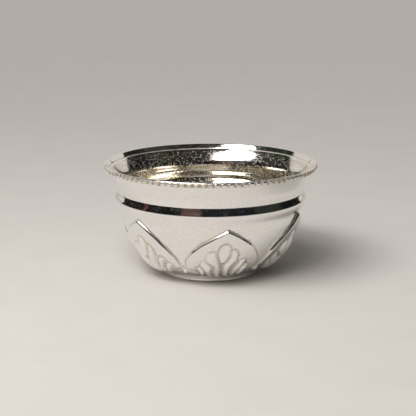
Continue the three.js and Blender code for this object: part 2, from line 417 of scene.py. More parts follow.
class Petals:
    """Where the petals lie on the belly, and how far each point of it is chased out or left behind."""

    # The outline's short and long waves, their shift from petal to petal, and where they have full size
    wave_lengths = (0.9 * MM, 2.3 * MM)
    wave_shift = 2.1
    waves_full_at = 8 * MM

    # Lengths up the belly over which a petal leans over, and the share that it leans the other way first
    lean_starts, lean_run = 12 * MM, 15 * MM
    base_lean, base_lean_run = 0.6, 10 * MM

    # Length up the belly where the chasing starts to grow, and over which it reaches its full height
    growth_start, growth_run = 8 * MM, 9 * MM

    # The outline's outer face: how steep its middle is, and the rounding at its crest and its foot
    steepness = 1.5
    crest_round, foot_round = 0.16 * MM, 0.05 * MM

    # The smooth field at the petals' base starts on a curve, and follows the lobes down
    field_start, field_curve = 5.6 * MM, 0.011 / MM
    field_fade, lobe_margin = 1.2 * MM, 0.8 * MM

    # Half width and patina of the lines round the lobes
    line_reach, line_patina = 0.4 * MM, 0.65

    # The same for the corner at the foot of the outline, low and high on the belly
    low_corner, high_corner, corner_shift = 0.42 * MM, 0.3 * MM, 0.15 * MM
    corner_patina, corner_run = 0.9, 4 * MM

    # The chasing fades out just above the flat, and on the inner face near the outline
    chase_start, chase_fade = 0.5 * MM, 2 * MM
    dish_edge, dish_start, dish_fade = 4 * MM, 2 * MM, 5 * MM

    # Limits that keep the sums sound where an outline closes or a lobe ends
    slope_step = 0.2 * MM
    most_taper = 4
    least_width = 0.05 * MM
    far_away = 1.0

    def __init__(self, petals, sheet, outline, marks):
        self.size = petals
        self.outline = outline
        self.start = marks["flat"]
        self.base = sheet.base_height
        self.pitch = TURN / petals.count

    def half_width(self, petal, up):
        """Half a petal's width in metres at a length up the belly, and half its share of the round there."""
        radius, height = self.outline.point_at(self.start + up)
        tips = np.array(PETAL_TIPS)[petal % len(PETAL_TIPS), 0] * MM
        rise = np.maximum(0, (height - self.base) / (tips - self.base))
        room = self.pitch * radius / 2
        short, long = self.wave_lengths
        uneven = self.size.uneven * np.sin(up / short + self.wave_shift * petal) * np.cos(up / long)
        return room * (1 - rise**self.size.power) + uneven * smoothstep(up / self.waves_full_at), room

    def lean(self, petal, up):
        """How far a petal's middle lies to one side: the other way at first, its whole lean at the tip."""
        lean = np.array(PETAL_TIPS)[petal % len(PETAL_TIPS), 1] * MM
        over = ramp(up, self.lean_starts, self.lean_run) * (1 + self.base_lean)
        return lean * (over - self.base_lean * smoothstep(up / self.base_lean_run))

    def place(self, azimuth, up):
        """How far across its petal a point lies, how far inside the outline, and the room it has."""
        turn = azimuth - self.size.first
        number = np.round(turn / self.pitch)
        petal = number.astype(int) % self.size.count
        width, room = self.half_width(petal, up)
        above, _ = self.half_width(petal, up + self.slope_step)
        across = (turn - number * self.pitch) * room / (self.pitch / 2)
        fade = 1 - np.abs(across) / room
        shifted = across - self.lean(petal, up) * np.sqrt(np.clip(fade, 0, 1))
        taper = np.clip((width - above) / self.slope_step, -self.most_taper, self.most_taper)
        inside = (width - np.abs(shifted)) / np.hypot(1, taper)
        return across, inside, room

    def lobes(self, across, up, spines):
        """How far the lobes bulge, and the distance to the nearest lobe's edge, negative inside."""
        size = self.size
        bulge = np.zeros_like(across)
        edge = np.full_like(across, self.far_away)
        for spine in spines:
            points = smooth_line(spine) * MM
            runs = run_of(points)
            nearest = np.full_like(across, self.far_away)
            for (x0, y0, w0), (x1, y1, w1), run in zip(points, points[1:], runs):
                dx, dy = x1 - x0, y1 - y0
                t = np.clip(((across - x0) * dx + (up - y0) * dy) / (dx * dx + dy * dy), 0, 1)
                distance = np.hypot(across - x0 - t * dx, up - y0 - t * dy)
                width = np.maximum(w0 + t * (w1 - w0), self.least_width)
                full = smoothstep((run + t * math.hypot(dx, dy)) / size.tip_run)
                rounded = size.tip_round + (size.roundness - size.tip_round) * full
                section = 1 - np.minimum(distance / width, 1) ** 2
                bulge = np.maximum(bulge, rounded * np.minimum(width, size.most_width) * section)
                nearest = np.minimum(nearest, distance - width)
            edge = np.where(np.abs(nearest) < np.abs(edge), nearest, edge)
            edge = np.where((nearest > 0) | (edge > 0), edge, np.maximum(edge, nearest))
        return bulge, edge

    def relief(self, azimuth, up):
        """How far the outer face stands proud of the plain belly, and how much patina it holds."""
        size = self.size
        across, inside, room = self.place(azimuth, up)
        height = ramp(up, self.growth_start, self.growth_run)
        share = size.base_share + (1 - size.base_share) * height
        steep = self.steepness * size.ridge / size.ridge_run * share
        crest = size.ridge - size.border_fall * ramp(inside, size.ridge_run, size.border)
        wall = soft_min(steep * inside, crest * share, self.crest_round)
        ridge = self.foot_round * np.logaddexp(0, wall / self.foot_round)
        lobe, edge = self.lobes(across, up, PALMETTE.values())
        bud, bud_edge = self.lobes(room - np.abs(across), up, [BUD])
        outside = np.minimum(np.where(lobe > 0, 0, edge), np.where(bud > 0, 0, bud_edge))
        start = self.field_start + self.field_curve * across**2
        held = np.maximum(ramp(up, start, self.field_fade), smoothstep(1 - outside / self.lobe_margin))
        border = ridge * held
        chased = np.minimum(border, size.low_chase + (size.high_chase - size.low_chase) * height)
        field = chased + (border - chased) * smoothstep(outside / size.chase_run)
        proud = field + np.maximum(lobe, bud)
        lines = np.exp(-((np.minimum(np.abs(edge), np.abs(bud_edge)) / self.line_reach) ** 2))
        corner_reach = self.low_corner + (self.high_corner - self.low_corner) * height
        corner = np.exp(-(((inside - self.corner_shift * (1 - height)) / corner_reach) ** 2))
        corner *= ramp(up, self.growth_start, self.corner_run)
        patina = np.clip(self.line_patina * lines + self.corner_patina * corner, 0, 1)
        return proud * ramp(up, self.chase_start, self.chase_fade), patina

    def dish(self, azimuth, up):
        """How far the chasing pushes the inner face outwards."""
        _, inside, _ = self.place(azimuth, up)
        within = smoothstep(inside / self.dish_edge)
        return self.size.dish * within * ramp(up, self.dish_start, self.dish_fade)


# Flat patterns, rolled up by nodes


# Columns from a petal's middle to the valley, and how many of them lie on its ridge and outside it
PETAL_COLUMNS = 54
RIDGE_COLUMNS = 12
OUTSIDE_COLUMNS = 6

# How many fine columns a coarse column of the plain stretches stands for. FlatPattern's stitch expects three
COARSE = 3

# The fine columns' width on a ridge, the least they leave inside and outside it, and the lengths up the
# belly, from its foot and from below its top, over which they gather and spread again
RIDGE_WIDTH = 1.5 * MM
LEAST_INSIDE, LEAST_OUTSIDE = 3 * MM, 0.6 * MM
GATHER_START, GATHER_RUN = 1 * MM, 4 * MM
SPREAD_START, SPREAD_RUN = 9 * MM, 7 * MM

# Steps at which the spacing of rows is summed up, and the distance across which a rolled seam is joined
FINE_PLACES = 4000
SEAM_REACH = 0.001 * MM

# Shares of tarnish: on the outer face, on the inner wall below the lip, and on the bowl's floor
FAINT_TARNISH = 0.1
WALL_TARNISH = 0.5
FLOOR_TARNISH = 0.4


def rows_between(start, end, spacings):
    """Places from start to end, as close together as (place, spacing) pairs ask for."""
    fine = np.linspace(start, end, FINE_PLACES)
    at, spacing = np.array(spacings).T
    steps = np.diff(fine) / np.interp((fine[1:] + fine[:-1]) / 2, at, spacing)
    count = np.concatenate([[0], np.cumsum(steps)])
    return np.interp(np.linspace(0, count[-1], max(2, round(count[-1]) + 1)), count, fine)


def near(place, *spacings):
    """Spacings of rows at some mm before or after a place."""
    return [(place + offset * MM, spacing) for offset, spacing in spacings]


def petal_azimuths(petals, up, top):
    """Azimuths of the fine columns at a length up the belly: close together along each petal's ridge.

    They spread out evenly towards the belly's ends, where they meet the coarser columns of the rest.
    """
    even = np.linspace(-1, 1, 2 * PETAL_COLUMNS, endpoint=False)
    spread = 1 - ramp(up, GATHER_START, GATHER_RUN) + ramp(up - top, -SPREAD_START, SPREAD_RUN)
    azimuths = []
    for number in range(petals.size.count):
        width, room = petals.half_width(np.array(number), up)
        lean = petals.lean(np.array(number), up)
        outer = float(np.clip(width, LEAST_INSIDE, room - LEAST_OUTSIDE))
        inner = outer - min(RIDGE_WIDTH, outer / 3)
        marks = np.concatenate(
            [
                np.linspace(0, inner, PETAL_COLUMNS - OUTSIDE_COLUMNS - RIDGE_COLUMNS, endpoint=False),
                np.linspace(inner, outer, RIDGE_COLUMNS, endpoint=False),
                np.linspace(outer, room, OUTSIDE_COLUMNS, endpoint=False),
            ]
        )
        half = np.concatenate([-marks[:0:-1], marks])
        fade = np.sqrt(np.clip(1 - np.abs(half) / room, 0, 1))
        half = np.concatenate([[-room], half + lean * fade])
        half += spread * (even * room - half)
        azimuths.append(petals.size.first + petals.pitch * (number + half / room / 2))
    azimuths.append([azimuths[0][0] + TURN])
    return np.concatenate(azimuths)


class FlatPattern:
    """A sheet laid out flat: x is the azimuth, y the length along the outline, and z how far it stands proud.

    Each point has a share of patina, which is dull and brown, and of tarnish, which tints the silver and
    gives it specks.
    """

    def __init__(self):
        self.points = []
        self.patina = []
        self.tarnish = []
        self.faces = []
        self.last = None

    def add_row(self, run, azimuths, proud=0.0, patina=0.0, tarnish=FAINT_TARNISH):
        count = len(azimuths)
        first = sum(len(row) for row in self.points)
        self.points.append(np.column_stack([azimuths, np.full(count, run), np.broadcast_to(proud, count)]))
        self.patina.append(np.broadcast_to(patina, count))
        self.tarnish.append(np.broadcast_to(tarnish, count))
        if self.last:
            self.stitch(*self.last, first, count - 1)
        self.last = (first, count - 1)

    def stitch(self, low, low_cells, high, high_cells):
        """Faces between two rows with equally many cells, or with three in one for each in the other."""
        if low_cells == high_cells:
            i = np.arange(low_cells)
            self.faces += np.column_stack([low + i, low + i + 1, high + i + 1, high + i]).tolist()
            return
        for i in range(min(low_cells, high_cells)):
            a = low + i * (low_cells // min(low_cells, high_cells))
            b = high + i * (high_cells // min(low_cells, high_cells))
            if low_cells < high_cells:
                self.faces += [(a, a + 1, b + 2, b + 1), (a, b + 1, b), (a + 1, b + 3, b + 2)]
            else:
                self.faces += [(a + 1, a + 2, b + 1, b), (a, a + 1, b), (a + 2, a + 3, b + 1)]

    def to_mesh(self, name):
        mesh = bpy.data.meshes.new(name)
        mesh.from_pydata(np.vstack(self.points).tolist(), [], self.faces)
        for attribute, rows in (("patina", self.patina), ("tarnish", self.tarnish)):
            held = mesh.attributes.new(attribute, "FLOAT", "POINT")
            held.data.foreach_set("value", np.concatenate(rows).astype(np.float32))
        return mesh


def sheet_pattern(sheet, outline, marks, petals):
    """The sheet laid out flat, with closer rows at its corners and finer columns on its chased belly."""
    pattern = FlatPattern()
    columns = petals.size.count * 2 * PETAL_COLUMNS // COARSE
    even = petals.size.first - petals.pitch / 2 + np.linspace(0, TURN, columns + 1)
    flat, groove, crease = marks["flat"], marks["belly"], marks["band"]
    lip_start, lip, edge, end = marks["flare"], marks["lip"], marks["edge"], marks["end"]
    chased_from, chased_to = flat + 0.4 * MM, groove + 1.6 * MM
    corner, plain = 0.13 * MM, 0.55 * MM

    inner_groove, inner_crease, seam = (edge + lip - place for place in (groove, crease, lip_start))
    inner_neck, floor_edge = edge + lip - marks["neck"], edge + lip - flat
    inner_belly = inner_groove + 1 * MM

    underside = near(flat, (-3, 5 * MM), (-0.4, corner), (0, corner))
    for place in rows_between(0, flat + 0.2 * MM, underside):
        pattern.add_row(outline.run_at(place), even)
    belly = near(flat, (3, 0.5 * MM), (5, 0.3 * MM), (21, 0.3 * MM), (23, 0.25 * MM))
    for place in rows_between(chased_from, chased_to, belly):
        up = place - flat
        azimuths = petal_azimuths(petals, up, chased_to - flat)
        pattern.add_row(outline.run_at(place), azimuths, *petals.relief(azimuths, up))
    upper = [
        *near(crease, (-0.9, plain), (-0.5, corner), (0.5, corner), (1.2, plain * 2)),
        *near(lip, (-0.9, plain), (-0.3, corner)),
        *near(edge, (0.3, corner), (0.8, plain)),
        *near(seam, (-0.9, plain), (-0.5, corner * 0.7), (0.5, corner * 0.7), (0.9, plain)),
        *near(inner_crease, (-1, plain * 1.5), (0, plain / 2), (1, plain)),
        *near(inner_groove, (0, plain / 2)),
    ]
    for place in rows_between(chased_to + 0.3 * MM, inner_belly, upper):
        line_share = math.exp(-(((place - seam) / (sheet.seam_width / 2)) ** 2))
        tarnish = FAINT_TARNISH + (WALL_TARNISH - FAINT_TARNISH) * smoothstep((place - seam) / (1 * MM) - 0.5)
        tarnish += (1 - WALL_TARNISH) * smoothstep((place - inner_neck) / (1 * MM) + 0.5)
        pattern.add_row(outline.run_at(place), even, -sheet.seam_depth * line_share, line_share, tarnish)
    for place in rows_between(inner_belly + 0.6 * MM, floor_edge, [(0, 0.8 * MM)]):
        up = edge + lip - place - flat
        tarnish = 1 - (1 - FLOOR_TARNISH) * ramp(place, inner_belly, 6 * MM)
        pattern.add_row(outline.run_at(place), even, -petals.dish(even, up), tarnish=tarnish)
    inner_floor = near(floor_edge, (0, 1 * MM), (4, 4 * MM))
    for place in rows_between(floor_edge + 0.8 * MM, end, inner_floor):
        pattern.add_row(outline.run_at(place), even, tarnish=FLOOR_TARNISH)
    return pattern


# Places, faces, nodes and objects


def at_turn(turn, reach, height):
    """The place at a turn from the front, a distance from the axis and a height."""
    return (reach * math.sin(turn), -reach * math.cos(turn), height)


def grid_faces(rows, columns, closed=False):
    """Faces between rows of corners. A closed row comes round to its first corner again."""
    width = columns if closed else columns + 1
    faces = []
    for row in range(rows):
        for column in range(columns):
            a, b = row * width + column, row * width + (column + 1) % width
            faces.append((a, b, b + width, a + width))
    return faces


def add_node(tree, kind, inputs=None, **settings):
    """Outputs of a new node with its settings, and its inputs linked from a socket or set to a value."""
    node = tree.nodes.new(kind)
    for name, value in settings.items():
        setattr(node, name, value)
    for socket, value in (inputs or {}).items():
        if isinstance(value, bpy.types.NodeSocket):
            tree.links.new(value, node.inputs[socket])
        else:
            node.inputs[socket].default_value = value
    return node.outputs


def maths(tree, operation, *values, **settings):
    inputs = dict(enumerate(values))
    return add_node(tree, "ShaderNodeMath", inputs, operation=operation, **settings)[0]


def vector_maths(tree, operation, *values):
    return add_node(tree, "ShaderNodeVectorMath", dict(enumerate(values)), operation=operation)[0]


def remap(tree, value, start, end, to_start=0.0, to_end=1.0, **settings):
    """A value of one range carried over to another."""
    inputs = {"Value": value, "From Min": start, "From Max": end, "To Min": to_start, "To Max": to_end}
    return add_node(tree, "ShaderNodeMapRange", inputs, **settings)[0]


def blend(tree, share, first, second):
    """A colour between two, each of them a socket or four numbers."""
    inputs = {"Factor": share, 6: first, 7: second}
    return add_node(tree, "ShaderNodeMix", inputs, data_type="RGBA")[2]


def noise(tree, place, scale, detail, roughness):
    inputs = {"Vector": place, "Scale": scale, "Detail": detail, "Roughness": roughness}
    return add_node(tree, "ShaderNodeTexNoise", inputs)["Fac"]


def from_axis(tree, where):
    """The three parts of a place, and its distance from the Z axis."""
    parts = add_node(tree, "ShaderNodeSeparateXYZ", {0: where})
    level = add_node(tree, "ShaderNodeCombineXYZ", {"X": parts["X"], "Y": parts["Y"]})[0]
    reach = add_node(tree, "ShaderNodeVectorMath", {0: level}, operation="LENGTH")["Value"]
    return parts, reach


def turned_noise(tree, where, radian_length, *texture):
    """Noise drawn out round the axis, where a radian is only as long as told."""
    parts, radius = from_axis(tree, where)
    turn = maths(tree, "ARCTAN2", parts["X"], parts["Y"])
    run = maths(tree, "MULTIPLY", turn, radian_length)
    place = add_node(tree, "ShaderNodeCombineXYZ", {"X": radius, "Y": parts["Z"], "Z": run})
    return noise(tree, place[0], *texture)


def new_geometry_tree(name, sockets):
    """A Geometry Nodes tree with geometry in and out and these inputs, and the sockets that bring them in."""
    tree = bpy.data.node_groups.new(name, "GeometryNodeTree")
    tree.interface.new_socket("Geometry", in_out="OUTPUT", socket_type="NodeSocketGeometry")
    tree.interface.new_socket("Geometry", in_out="INPUT", socket_type="NodeSocketGeometry")
    for socket, kind in sockets.items():
        tree.interface.new_socket(socket, in_out="INPUT", socket_type=kind)
    return tree, tree.nodes.new("NodeGroupInput").outputs


def end_geometry_tree(tree, geometry, material):
    """Merges the seam, shades smooth, realizes and sets the material."""
    seam = {"Geometry": geometry, "Distance": SEAM_REACH}
    merged = add_node(tree, "GeometryNodeMergeByDistance", seam)
    smooth = add_node(tree, "GeometryNodeSetShadeSmooth", {"Geometry": merged[0]})
    real = add_node(tree, "GeometryNodeRealizeInstances", {"Geometry": smooth[0]})
    dressed = add_node(tree, "GeometryNodeSetMaterial", {"Geometry": real[0], "Material": material})
    tree.links.new(dressed[0], tree.nodes.new("NodeGroupOutput").inputs[0])


def roll_up_tree():
    """Rolls a flat pattern up round the Z axis, along an outline drawn as a curve in front of the axis."""
    sockets = {"Outline": "NodeSocketObject", "Material": "NodeSocketMaterial"}
    tree, given = new_geometry_tree("roll_up", sockets)
    outline = add_node(tree, "GeometryNodeObjectInfo", {"Object": given["Outline"]})
    position = tree.nodes.new("GeometryNodeInputPosition").outputs[0]
    place = add_node(tree, "ShaderNodeSeparateXYZ", {0: position})
    length_up = {"Curves": outline["Geometry"], "Length": place["Y"]}
    sample = add_node(tree, "GeometryNodeSampleCurve", length_up, mode="LENGTH", use_all_curves=True)
    outward = vector_maths(tree, "CROSS_PRODUCT", (1, 0, 0), sample["Tangent"])
    proud = vector_maths(tree, "MULTIPLY_ADD", outward, place["Z"], sample["Position"])
    turn = {"Vector": proud, "Angle": place["X"]}
    turned = add_node(tree, "ShaderNodeVectorRotate", turn, rotation_type="Z_AXIS")[0]
    moved = add_node(tree, "GeometryNodeSetPosition", {"Geometry": given["Geometry"], "Position": turned})
    end_geometry_tree(tree, moved[0], given["Material"])
    return tree


def repeat_round_tree():
    """Repeats a piece round the Z axis, a set number of times in one turn."""
    sockets = {"Count": "NodeSocketInt", "Material": "NodeSocketMaterial"}
    tree, given = new_geometry_tree("repeat_round", sockets)
    points = add_node(tree, "GeometryNodePoints", {"Count": given["Count"]})[0]
    pitch = maths(tree, "DIVIDE", TURN, given["Count"])
    number = tree.nodes.new("GeometryNodeInputIndex").outputs[0]
    turn = maths(tree, "MULTIPLY", number, pitch)
    rotation = add_node(tree, "ShaderNodeCombineXYZ", {"Z": turn})[0]
    placed = {"Points": points, "Instance": given["Geometry"], "Rotation": rotation}
    copies = add_node(tree, "GeometryNodeInstanceOnPoints", placed)
    real = add_node(tree, "GeometryNodeRealizeInstances", {"Geometry": copies[0]})
    end_geometry_tree(tree, real[0], given["Material"])
    return tree


def add_object(name, data):
    added = bpy.data.objects.new(name, data)
    bpy.context.scene.collection.objects.link(added)
    return added


def made_by_nodes(name, mesh, tree, values):
    """A piece with the mesh that a Geometry Nodes tree makes of another mesh, and no modifier left on it."""
    piece = add_object(name, mesh)
    modifier = piece.modifiers.new("shape", "NODES")
    modifier.node_group = tree
    for item in tree.interface.items_tree:
        if item.in_out == "INPUT" and item.name in values:
            modifier[item.identifier] = values[item.name]
    graph = bpy.context.evaluated_depsgraph_get()
    result = bpy.data.meshes.new_from_object(
        piece.evaluated_get(graph), preserve_all_data_layers=True, depsgraph=graph
    )
    piece.modifiers.clear()
    piece.data = result
    result.name = name
    bpy.data.meshes.remove(mesh)
    return piece


def outline_curve(points):
    """An outline as a curve object in front of the axis, for the nodes to follow."""
    curve = bpy.data.curves.new("outline", "CURVE")
    curve.dimensions = "3D"
    spline = curve.splines.new("POLY")
    spline.points.add(len(points) - 1)
    radius, height = points.T
    corners = np.column_stack([np.zeros(len(points)), -radius, height, np.ones(len(points))])
    spline.points.foreach_set("co", corners.astype(np.float32).ravel())
    return add_object("outline", curve)


def roll_up(name, pattern, points, material):
    """Makes a turned piece of a flat pattern and its outline."""
    drawn = outline_curve(points)
    values = {"Outline": drawn, "Material": material}
    piece = made_by_nodes(name, pattern.to_mesh(name), roll_up_tree(), values)
    bpy.data.objects.remove(drawn)
    return piece


# Materials


# Noises as scale, detail and roughness. The first two are drawn out round the axis, and start with the
# length that a radian has in them
LATHE_LINES = (0.0012, 2600.0, 3.0, 0.6)
STREAKS = (0.005, 700.0, 4.0, 0.6)
SMUDGES = (90.0, 5.0, 0.65)
SPECKS = (1500.0, 2.0, 0.5)
FLOOR_CLOUDS = (40.0, 6.0, 0.6)
ROOM_SPECKS = (15.0, 4.0, 0.7)

# Ranges of noise or height. Where there are four numbers, the last two are the shares that the range becomes
PATCHY_RANGE = (0.42, 0.58, 0.3, 1.0)
STREAKY_RANGE = (0.4, 0.6)
SPOTTY_RANGE = (0.55, 0.64, 0.0, 0.7)
SMUDGED_RANGE = (0.4, 0.75)
LIGHTS_RANGE = (0.6, 0.66, 0.0, 0.5)
HIGH_UP_RANGE = (0.55, 0.68, 0.12, 1.0)

# How much of the metal full patina hides, how rough patina and tarnish make it, and how many times a
# piece's roughness it has where it is clean and where it is smudged
PATINA_COVER = 0.9
PATINA_ROUGHNESS, TARNISH_ROUGHNESS = 0.45, 0.08
CLEAN_TIMES, SMUDGED_TIMES = 0.8, 1.7
SCRATCH_DEPTH = 0.01 * MM

FLOOR_SHADE = 0.9
SMALL_LIGHTS = (0.45, 0.42, 0.3, 1)


def new_material(name):
    """A material with an empty tree, that tree, and the place on the piece to texture it by."""
    material = bpy.data.materials.new(name)
    material.use_nodes = True
    tree = material.node_tree
    tree.nodes.clear()
    return material, tree, tree.nodes.new("ShaderNodeTexCoord").outputs["Object"]


def end_material(tree, kind, inputs):
    shader = add_node(tree, kind, inputs)
    add_node(tree, "ShaderNodeOutputMaterial", {"Surface": shader[0]})


def silver_material(name, finish, roughness, patina_share=1.0):
    """Polished silver with smudges and fine scratches round the axis.

    Patina makes it dull and brown where the piece holds it. Tarnish tints it in streaks, with brown specks.
    """
    material, tree, where = new_material(name)
    smudges = noise(tree, where, *SMUDGES)
    specks = noise(tree, where, *SPECKS)
    held = add_node(tree, "ShaderNodeAttribute", attribute_name="patina")["Fac"]
    tarnish = add_node(tree, "ShaderNodeAttribute", attribute_name="tarnish")["Fac"]
    patchy = maths(tree, "MULTIPLY", held, remap(tree, smudges, *PATCHY_RANGE))
    in_lines = maths(tree, "MULTIPLY", patchy, patina_share, use_clamp=True)
    spots = maths(tree, "MULTIPLY", remap(tree, specks, *SPOTTY_RANGE), tarnish)
    patina = maths(tree, "MAXIMUM", in_lines, spots)
    streaks = turned_noise(tree, where, *STREAKS)
    film = maths(tree, "MULTIPLY", tarnish, remap(tree, streaks, *STREAKY_RANGE))
    tinted = blend(tree, film, (*finish.silver, 1), (*finish.tarnish, 1))
    worn = remap(tree, smudges, *SMUDGED_RANGE, roughness * CLEAN_TIMES, roughness * SMUDGED_TIMES)
    dulled = maths(tree, "MULTIPLY_ADD", patina, PATINA_ROUGHNESS, worn)
    bump = {"Strength": finish.scratches, "Distance": SCRATCH_DEPTH}
    lathe_lines = turned_noise(tree, where, *LATHE_LINES)
    scratched = add_node(tree, "ShaderNodeBump", {"Height": lathe_lines, **bump})[0]
    pitted = add_node(tree, "ShaderNodeBump", {"Height": specks, "Normal": scratched, **bump})[0]
    inputs = {
        "Base Color": blend(tree, patina, tinted, (*finish.patina, 1)),
        "Metallic": maths(tree, "MULTIPLY_ADD", patina, -PATINA_COVER, 1.0),
        "Roughness": maths(tree, "MULTIPLY_ADD", film, TARNISH_ROUGHNESS, dulled),
        "Normal": pitted,
    }
    end_material(tree, "ShaderNodeBsdfPrincipled", inputs)
    return material


def floor_material(colour_value):
    """A plain matt sheet with a faint unevenness."""
    material, tree, where = new_material("floor_sheet")
    dark = [FLOOR_SHADE * value for value in colour_value]
    mixed = blend(tree, noise(tree, where, *FLOOR_CLOUDS), (*dark, 1), (*colour_value, 1))
    inputs = {"Base Color": mixed, "Roughness": 0.9, "Specular IOR Level": 0.1}
    end_material(tree, "ShaderNodeBsdfPrincipled", inputs)
    return material


# Patches of the dark room that the silver mirrors: their left and right ends as turns from the front, their
# low and high ends above the horizon, in degrees, and their colour. Their edges fade over PATCH_FADE
ROOM_PATCHES = [
    (-140, -80, 30, 90, (0.011, 0.016, 0.007)),
    (-84.5, -81, -20, 30, (0.14, 0.045, 0.035)),
    (-34, -11, -20, 32, (0.11, 0.062, 0.056)),
    (-11, 50, -20, 34, (0.008, 0.009, 0.012)),
    (-10, 62, 34, 62, (0.018, 0.013, 0.012)),
    (53, 92, -20, 30, (0.02, 0.026, 0.019)),
    (62, 92, 38, 51, (0.035, 0.032, 0.022)),
]
PATCH_FADE = 1


def between(tree, value, low, high):
    """A share that is 1 between two angles, given in degrees, and fades out at each."""
    low, high, soft = (math.radians(degrees) for degrees in (low, high, PATCH_FADE))
    rise = remap(tree, value, low - soft, low + soft, interpolation_type="SMOOTHSTEP")
    fall = remap(tree, value, high + soft, high - soft, interpolation_type="SMOOTHSTEP")
    return maths(tree, "MULTIPLY", rise, fall)


def room_material(colour_value):
    """A dim room with a few brown and green patches and small lights high up, which the silver mirrors."""
    material, tree, where = new_material("dark_room")
    parts, reach = from_axis(tree, where)
    turn = maths(tree, "ARCTAN2", parts["X"], maths(tree, "MULTIPLY", parts["Y"], -1.0))
    height = maths(tree, "ARCTAN2", parts["Z"], reach)
    seen = (*colour_value, 1)
    for left, right, low, high, tone in ROOM_PATCHES:
        across = between(tree, turn, left, right)
        upward = between(tree, height, low, high)
        seen = blend(tree, maths(tree, "MULTIPLY", across, upward), seen, (*tone, 1))
    bright = remap(tree, noise(tree, where, *ROOM_SPECKS), *LIGHTS_RANGE)
    lights = maths(tree, "MULTIPLY", bright, remap(tree, height, *HIGH_UP_RANGE))
    end_material(tree, "ShaderNodeEmission", {"Color": blend(tree, lights, seen, SMALL_LIGHTS)})
    return material


# Operators


class BOWL_OT_sheet(Operator):
    """Make the spun and chased sheet"""

    bl_idname = "silver_bowl.sheet"
    bl_label = "Bowl sheet"

    def execute(self, context):
        size = context.scene.bowl_sheet
        outline, marks = sheet_outline(size)
        petals = Petals(context.scene.bowl_petals, size, outline, marks)
        pattern = sheet_pattern(size, outline, marks, petals)
        finish = context.scene.bowl_finish
        material = silver_material("polished_silver", finish, finish.roughness)
        sheet = roll_up("bowl_sheet", pattern, outline.points, material)
        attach(sheet, "root")
        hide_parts("bowl_body")
        return {"FINISHED"}


class BOWL_OT_wire(Operator):
    """Make the milled wire under the lip"""

    bl_idname = "silver_bowl.wire"
    bl_label = "Milled wire"

    arc_steps = 10
    stations = 8

    # Powers of the place along a bead, from its middle to its end, that the notch and its patina follow
    notch_power, patina_power = 6, 4
    bead_patina = 0.08
    dullness, patina_share = 3.2, 3.0

    def execute(self, context):
        size = context.scene.bowl_wire
        sheet = context.scene.bowl_sheet
        along = np.array([math.cos(sheet.lip_slope), math.sin(sheet.lip_slope)])
        under = np.array([along[1], -along[0]])
        centre = np.array(lip_ends(sheet)[1]) - along * size.radius
        beads = round(TURN * centre[0] / size.pitch)
        turns = np.linspace(-math.pi / 2, math.pi / 2, self.arc_steps + 1)
        section = size.proud * np.outer(np.cos(turns), under) + size.radius * np.outer(np.sin(turns), along)
        points, patina = [], []
        for station in range(self.stations + 1):
            place = 2 * station / self.stations - 1
            azimuth = place * math.pi / beads
            share = 1 - size.notch / size.radius * abs(place) ** self.notch_power
            held = self.bead_patina + (1 - self.bead_patina) * abs(place) ** self.patina_power
            for radius, height in centre + section * share:
                points.append(at_turn(azimuth, radius, height))
                patina.append(held)
        mesh = bpy.data.meshes.new("bead")
        mesh.from_pydata(points, [], grid_faces(self.stations, len(section), closed=True))
        mesh.attributes.new("patina", "FLOAT", "POINT").data.foreach_set("value", patina)
        finish = context.scene.bowl_finish
        roughness = finish.roughness * self.dullness
        material = silver_material("milled_silver", finish, roughness, self.patina_share)
        wire = made_by_nodes("milled_wire", mesh, repeat_round_tree(), {"Count": beads, "Material": material})
        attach(wire, "root")
        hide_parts("beaded_rim")
        return {"FINISHED"}


class BOWL_OT_foot(Operator):
    """Make the foot ring"""

    bl_idname = "silver_bowl.foot"
    bl_label = "Foot ring"

    columns, rows = 216, 40
    dullness = 2

    def execute(self, context):
        size = context.scene.bowl_foot
        top = context.scene.bowl_sheet.base_height
        inner = size.radius - size.thickness
        stretches = [
            line((inner, 0), (size.radius, 0)),
            arc_between((size.radius, 0), (size.radius, top), -size.waist),
            line((size.radius, top), (inner, top)),
            line((inner, top), (inner, 0)),
        ]
        loop = np.vstack(stretches)
        # The section starts and ends on the underside, away from the rounded edges
        start = len(loop) // 8
        loop = np.vstack([loop[start:], loop[:start]])
        loop = soften(evenly(loop), size.edge)
        loop[-1] = loop[0]
        pattern = FlatPattern()
        azimuths = np.linspace(0, TURN, self.columns + 1)
        for run in np.linspace(0, run_of(loop)[-1], self.rows + 1):
            pattern.add_row(run, azimuths)
        finish = context.scene.bowl_finish
        material = silver_material("foot_silver", finish, finish.roughness * self.dullness)
        foot = roll_up("foot_band", pattern, loop, material)
        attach(foot, "root")
        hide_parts("foot_ring")
        return {"FINISHED"}


